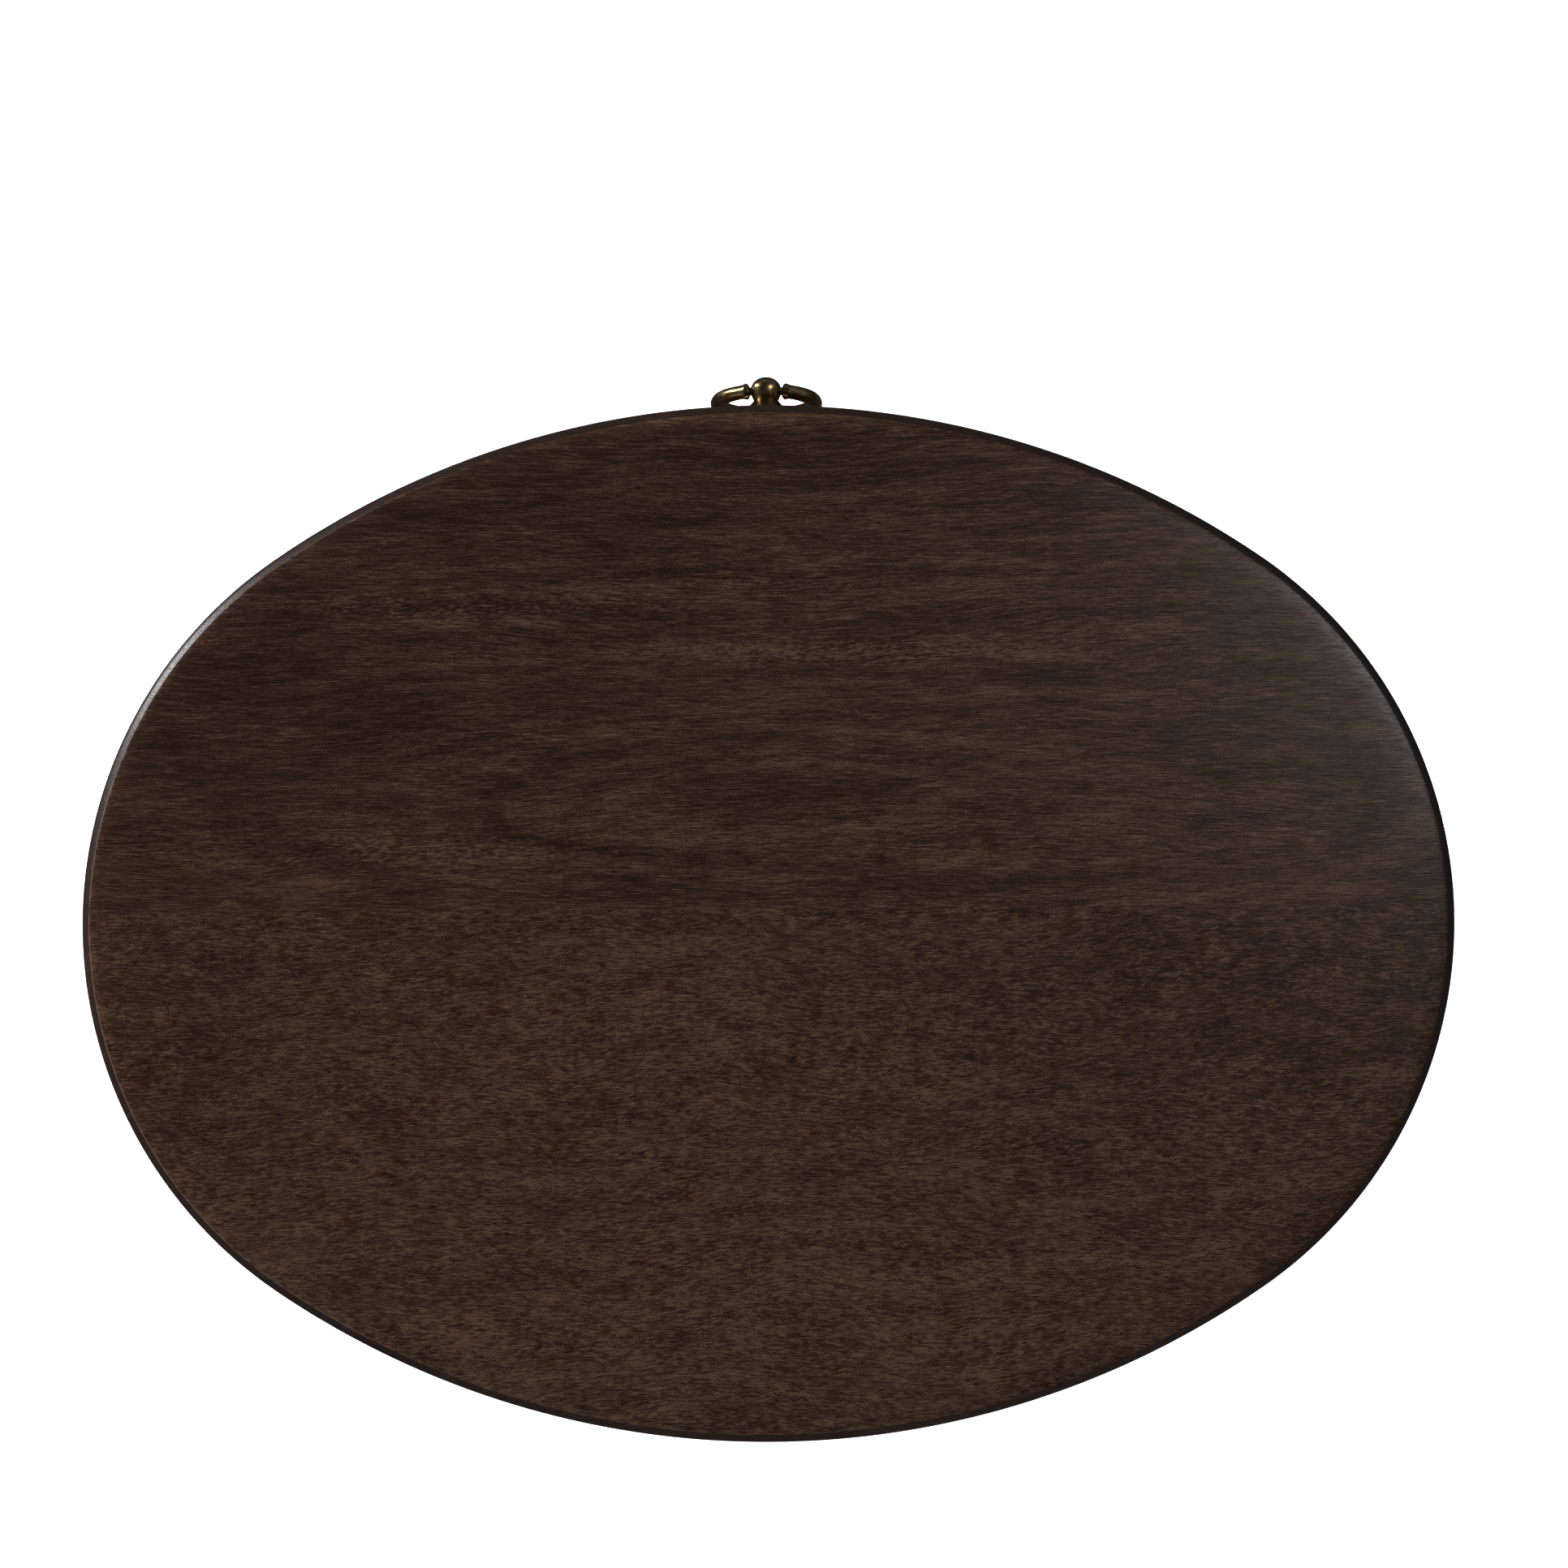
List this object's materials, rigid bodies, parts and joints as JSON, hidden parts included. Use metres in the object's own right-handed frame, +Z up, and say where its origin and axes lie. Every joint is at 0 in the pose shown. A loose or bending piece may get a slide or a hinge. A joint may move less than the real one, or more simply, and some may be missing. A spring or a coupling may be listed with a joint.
{
  "type": "oval side table",
  "caption": "Free-standing oval side table of dark-stained wood with a bow-front drawer that opens by a hanging brass ring pull.",
  "frame": {"origin": "on the floor, under the middle of the whole table with its pull, so the oval's own middle is 11.6 mm behind it", "axes": "+Z up, the drawer opens towards -Y, +X to the right of somebody who faces the drawer"},
  "size_m": [0.61, 0.4841, 0.61],
  "materials": {
    "stained_wood": "satin lacquer over a dark brown stain",
    "plain_wood": "planed, unstained, waxed",
    "aged_brass": "polished, aged to olive brown",
    "steel": "zinc plated",
    "glide_plastic": "matte"
  },
  "bodies": {
    "table": {"front_top_board": "stained_wood", "rear_top_board": "stained_wood", "left_side_rail": "stained_wood", "right_side_rail": "stained_wood", "rear_rail": "stained_wood", "upper_front_rail": "stained_wood", "lower_front_rail": "stained_wood", "front_left_leg": "stained_wood", "front_right_leg": "stained_wood", "rear_left_leg": "stained_wood", "rear_right_leg": "stained_wood", "left_runner": "plain_wood", "right_runner": "plain_wood", "kicker": "plain_wood", "drawer_back_stops": "plain_wood", "out_stop": "plain_wood", "out_stop_screw": "steel", "rail_screws": "steel", "top_clips": "steel", "clip_screws": "steel", "glide_nails": "steel", "leg_glides": "glide_plastic"},
    "drawer": {"drawer_front": "stained_wood", "drawer_left_side": "plain_wood", "drawer_right_side": "plain_wood", "drawer_back": "plain_wood", "drawer_bottom": "plain_wood", "drawer_bottom_screws": "steel", "pull_rosette": "aged_brass", "pull_post": "aged_brass", "pull_screw": "steel"},
    "ring": {"pull_ring": "aged_brass"}
  },
  "joints": [
    {"name": "drawer_slide", "type": "slide", "parent": "table", "child": "drawer", "axis": [0, -1, 0], "range_m": [0, 0.2]},
    {"name": "ring_swing", "type": "hinge", "parent": "drawer", "child": "ring", "pos_m": [0, -0.2357, 0.565], "axis": [-1, 0, 0], "range_deg": [-20, 193]}
  ]
}
